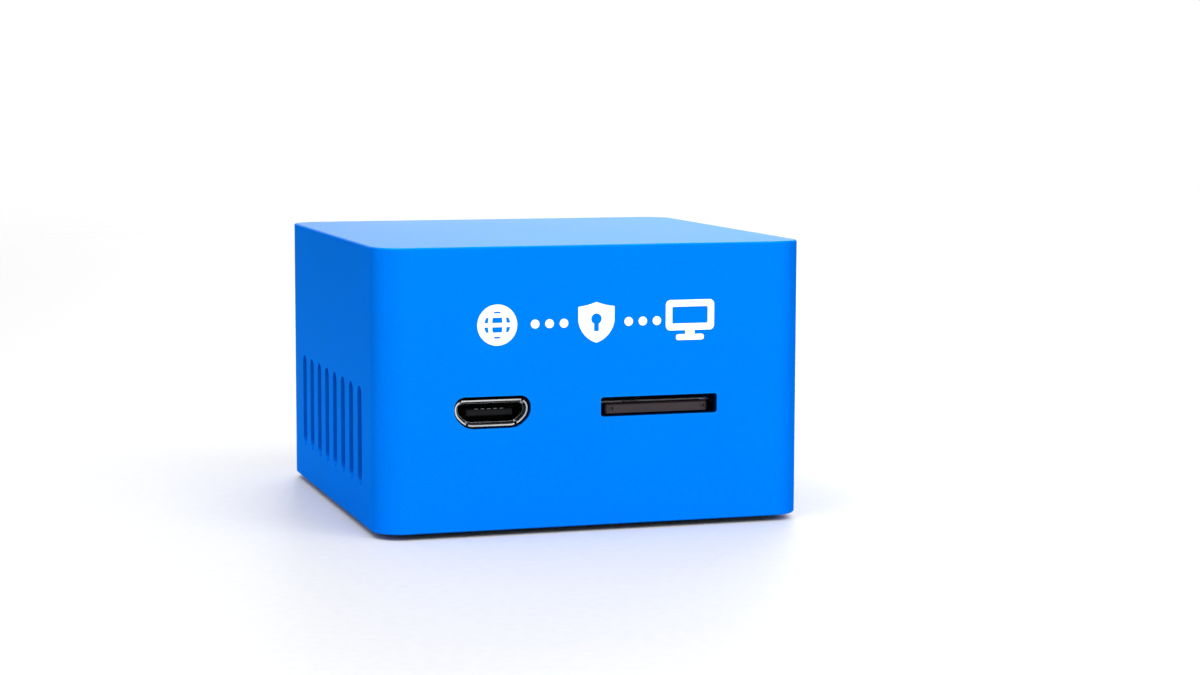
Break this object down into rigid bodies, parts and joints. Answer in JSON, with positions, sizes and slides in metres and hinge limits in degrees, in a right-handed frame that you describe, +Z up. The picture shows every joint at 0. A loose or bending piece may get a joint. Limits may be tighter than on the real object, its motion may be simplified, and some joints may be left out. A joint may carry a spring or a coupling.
{
  "type": "firewall appliance",
  "caption": "Palm-sized firewall appliance: blue aluminium box with side vents, power port, memory card, Ethernet and USB ports.",
  "frame": {"origin": "on the table under the centre of the box", "axes": "+Z up; -Y is the front wall with the power port and the memory card; +X is to the right seen from the front"},
  "size_m": [0.045, 0.045, 0.029],
  "materials": {
    "blue_aluminium": "bead-blasted and blue anodised",
    "black_aluminium": "black anodised",
    "white_ink": "printed",
    "rubber_black": "moulded",
    "label_grey": "blank polyester label",
    "nickel_steel": "nickel plated",
    "stainless": "cold rolled",
    "black_screw": "black oxide",
    "brass_nickel": "nickel-plated brass",
    "gold": "gilt",
    "solder_mask": "solder mask over glass-fibre laminate",
    "chip_epoxy": "moulded epoxy",
    "capacitor_ceramic": "fired ceramic with tinned ends",
    "resistor_ceramic": "fired ceramic with tinned ends",
    "bright_aluminium": "drawn can",
    "ferrite": "sintered ferrite",
    "lamp_clear": "water-clear",
    "black_nylon": "moulded",
    "white_nylon": "moulded",
    "card_black": "moulded",
    "thermal_pad": "silicone"
  },
  "bodies": {
    "case": {"housing_shell": "blue_aluminium", "base_plate": "black_aluminium", "base_screws": "black_screw", "rubber_feet": "rubber_black", "base_label": "label_grey", "board_standoffs": "brass_nickel", "front_mark": "white_ink", "circuit_board": "solder_mask", "processor_chip": "chip_epoxy", "memory_chips": "chip_epoxy", "network_chip": "chip_epoxy", "power_chips": "chip_epoxy", "power_inductors": "ferrite", "crystals": "stainless", "bulk_capacitor": "bright_aluminium", "ceramic_capacitors": "capacitor_ceramic", "chip_resistors": "resistor_ceramic", "status_leds": "lamp_clear", "debug_header_block": "black_nylon", "debug_header_pins": "gold", "ethernet_jack_insert": "black_nylon", "ethernet_jack_shield": "nickel_steel", "ethernet_jack_contacts": "gold", "ethernet_jack_lamps": "lamp_clear", "ethernet_magnetics": "ferrite", "usb_port_shell": "nickel_steel", "usb_port_tongue": "white_nylon", "usb_port_contacts": "gold", "micro_usb_shell": "nickel_steel", "micro_usb_tongue": "black_nylon", "micro_usb_contacts": "nickel_steel", "card_socket_base": "black_nylon", "card_socket_cover": "stainless", "card_socket_contacts": "gold", "cam_wire": "stainless", "eject_spring": "stainless", "heatsink": "black_aluminium", "thermal_pads": "thermal_pad", "heatsink_screws": "stainless", "heatsink_springs": "stainless", "heatsink_nuts": "nickel_steel"},
    "ejector": {"card_slider": "white_nylon"},
    "card": {"memory_card": "card_black", "memory_card_contacts": "gold"}
  },
  "joints": [
    {"name": "card_eject", "type": "slide", "parent": "case", "child": "ejector", "axis": [0, -1, 0], "range_m": [-0.0005, 0.003], "deforming": ["eject_spring"]},
    {"name": "card_pull", "type": "slide", "parent": "ejector", "child": "card", "axis": [0, -1, 0], "range_m": [0, 0.013]}
  ]
}
